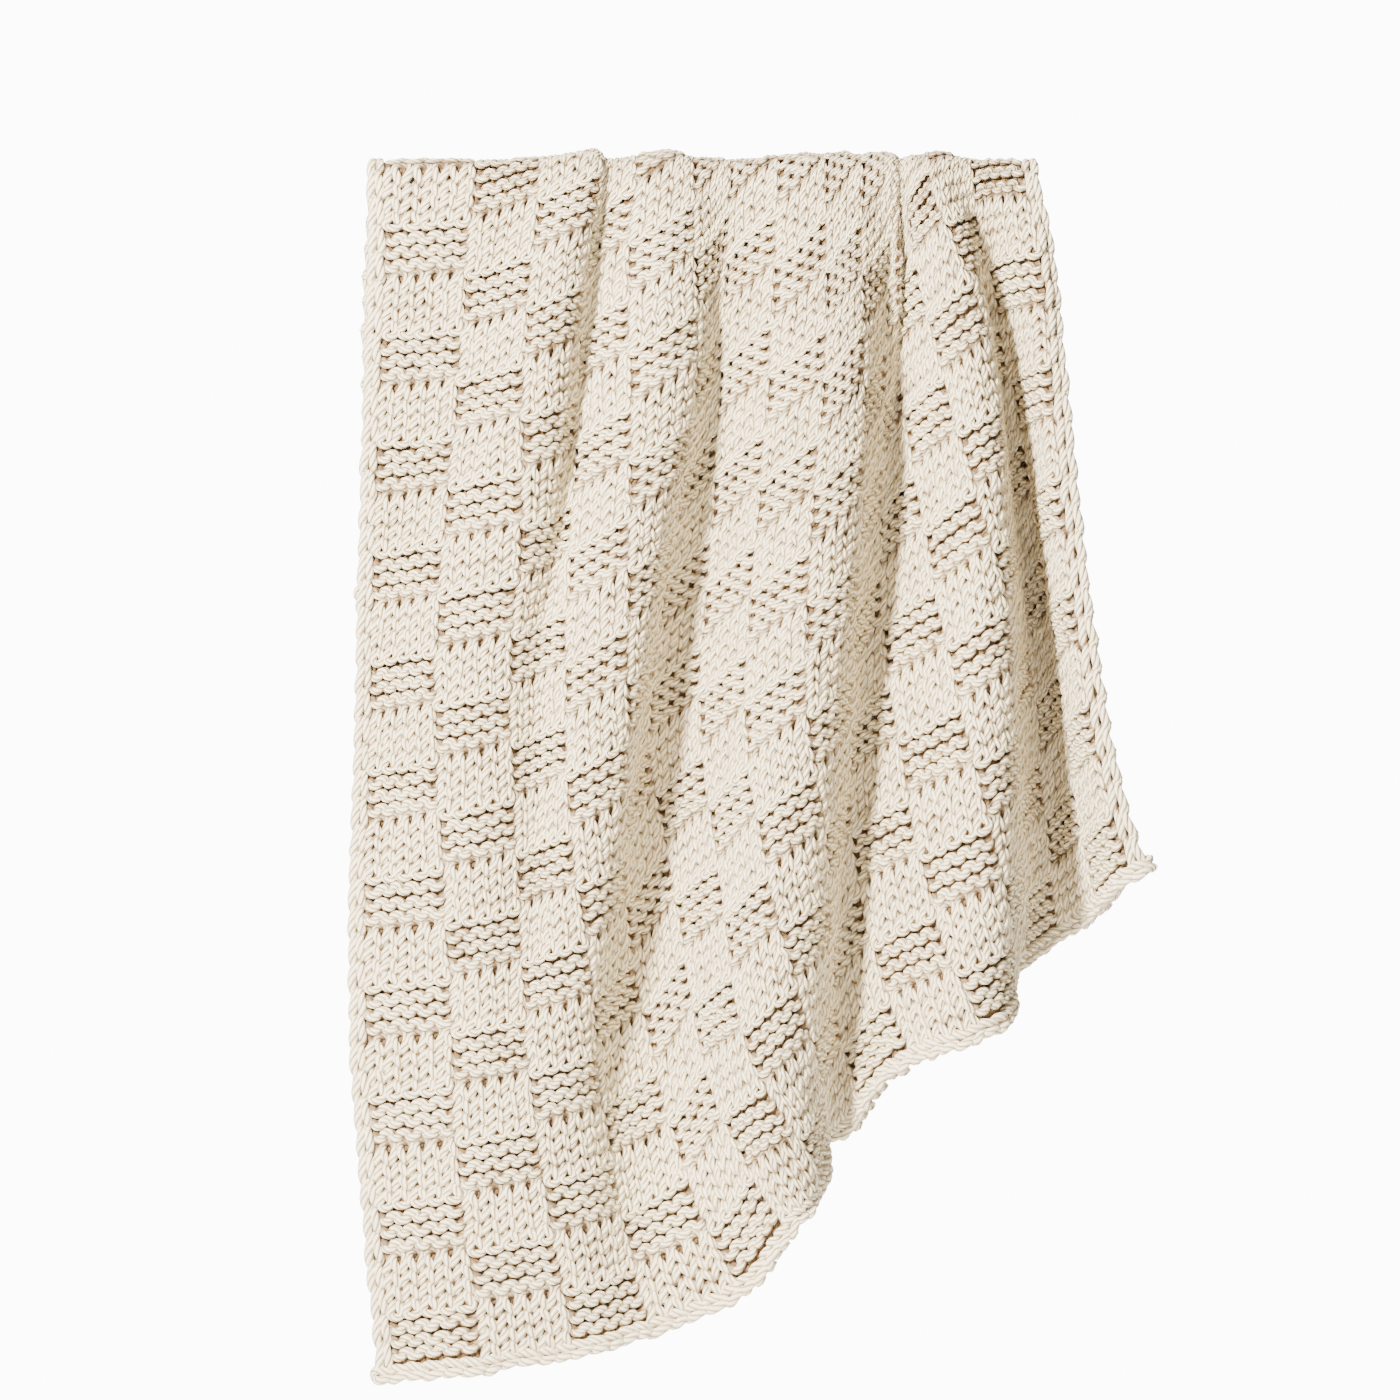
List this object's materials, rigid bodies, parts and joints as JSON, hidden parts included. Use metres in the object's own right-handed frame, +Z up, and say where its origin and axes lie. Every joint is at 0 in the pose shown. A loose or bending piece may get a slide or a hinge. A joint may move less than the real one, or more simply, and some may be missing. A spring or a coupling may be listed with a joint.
{
  "type": "knitted throw blanket",
  "caption": "Chunky knitted throw in a basket-weave pattern, hung slantwise over a round rod in soft pleats, with a long front fall and a shorter back fall.",
  "frame": {"origin": "on the axis of the rod that the throw hangs over, at the middle of the cloth that lies on the rod", "axes": "+X along the rod, towards the short corner of the front fall; the front fall hangs on -Y; +Z is up"},
  "size_m": [0.7135, 0.239, 1.1303],
  "materials": {
    "knit_yarn": "soft plied cream yarn, fibre not known",
    "edge_yarn": "soft plied cream yarn, fibre not known"
  },
  "bodies": {
    "saddle": {"saddle_panel": "knit_yarn", "left_selvedge_top": "edge_yarn", "right_selvedge_top": "edge_yarn"},
    "front_fall": {"front_panel": "knit_yarn", "left_selvedge_front": "edge_yarn", "right_selvedge_front": "edge_yarn", "bind_off_edge": "edge_yarn"},
    "back_fall": {"back_panel": "knit_yarn", "left_selvedge_back": "edge_yarn", "right_selvedge_back": "edge_yarn", "cast_on_edge": "edge_yarn"}
  },
  "joints": [
    {"name": "front_fall_swing", "type": "hinge", "parent": "saddle", "child": "front_fall", "pos_m": [0, -0.015, -0.0075], "axis": [-1, 0, 0], "range_deg": [0, 35]},
    {"name": "back_fall_swing", "type": "hinge", "parent": "saddle", "child": "back_fall", "pos_m": [0, 0.015, -0.0075], "axis": [1, 0, 0], "range_deg": [0, 35]}
  ]
}
